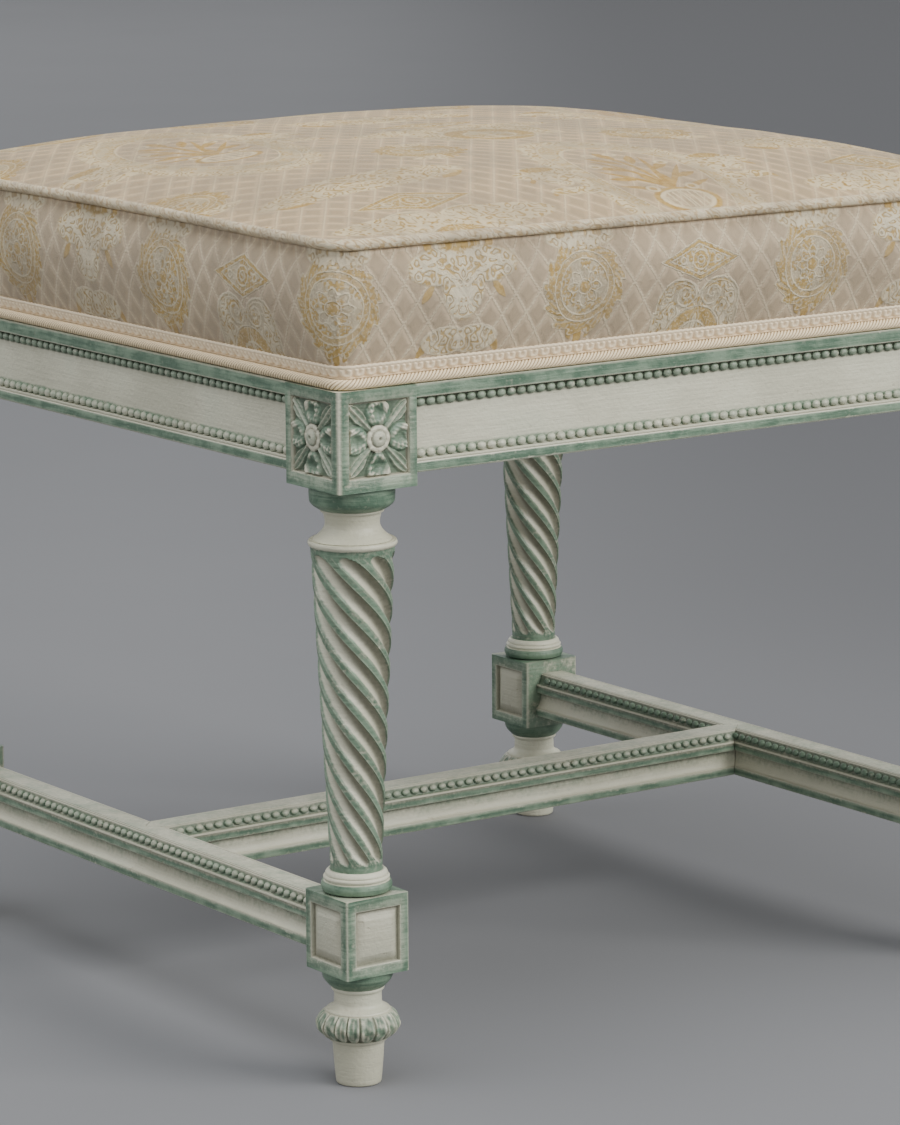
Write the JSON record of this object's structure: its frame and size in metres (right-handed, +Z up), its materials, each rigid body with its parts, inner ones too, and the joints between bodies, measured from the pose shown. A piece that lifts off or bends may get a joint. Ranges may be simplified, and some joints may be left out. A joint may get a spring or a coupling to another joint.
{
  "type": "upholstered stool",
  "caption": "Square tabouret stool: twist-fluted turned legs with carved square blocks, moulded rails, an H stretcher and a stuffed, boxed and piped silk seat.",
  "frame": {"origin": "on the floor, under the middle of the seat", "axes": "+Z up; the cross stretcher runs along X and the side stretchers along Y; the front faces -Y"},
  "size_m": [0.4858, 0.4858, 0.4733],
  "materials": {
    "painted_wood": "old grey-cream paint rubbed with grey-green in the mouldings, satin to matt",
    "bare_wood": "unpainted beech, dry",
    "peg_wood": "turned hardwood pegs, dry",
    "steel": "countersunk wood screws, dull",
    "jute": "woven jute webbing, matt",
    "sacking": "loosely woven hessian, matt",
    "horsehair": "curled hair stuffing, matt",
    "silk": "figured silk in champagne, silver-grey, gold and grey-green, satin sheen",
    "braid": "pinkish-cream looped gimp and twisted cord, soft sheen"
  },
  "bodies": {
    "root": {"leg_front_left": "painted_wood", "leg_front_right": "painted_wood", "leg_back_right": "painted_wood", "leg_back_left": "painted_wood", "rail_front": "painted_wood", "rail_right": "painted_wood", "rail_back": "painted_wood", "rail_left": "painted_wood", "rail_peg_front_left_1": "peg_wood", "rail_peg_front_left_2": "peg_wood", "rail_peg_front_right_1": "peg_wood", "rail_peg_front_right_2": "peg_wood", "rail_peg_back_right_1": "peg_wood", "rail_peg_back_right_2": "peg_wood", "rail_peg_back_left_1": "peg_wood", "rail_peg_back_left_2": "peg_wood", "corner_block_front_left": "bare_wood", "corner_screw_front_left_1": "steel", "corner_screw_front_left_2": "steel", "corner_block_front_right": "bare_wood", "corner_screw_front_right_1": "steel", "corner_screw_front_right_2": "steel", "corner_block_back_right": "bare_wood", "corner_screw_back_right_1": "steel", "corner_screw_back_right_2": "steel", "corner_block_back_left": "bare_wood", "corner_screw_back_left_1": "steel", "corner_screw_back_left_2": "steel", "stretcher_left": "painted_wood", "stretcher_right": "painted_wood", "stretcher_cross": "painted_wood", "cross_peg_left": "peg_wood", "cross_peg_right": "peg_wood", "webbing_across_1": "jute", "webbing_along_1": "jute", "webbing_across_2": "jute", "webbing_along_2": "jute", "webbing_across_3": "jute", "webbing_along_3": "jute", "webbing_across_4": "jute", "webbing_along_4": "jute", "hessian_base": "sacking", "seat_stuffing": "horsehair", "seat_top_cover": "silk", "seat_boxing": "silk", "welt_piping": "silk", "gimp_braid": "braid", "twisted_cord": "braid"}
  },
  "joints": []
}
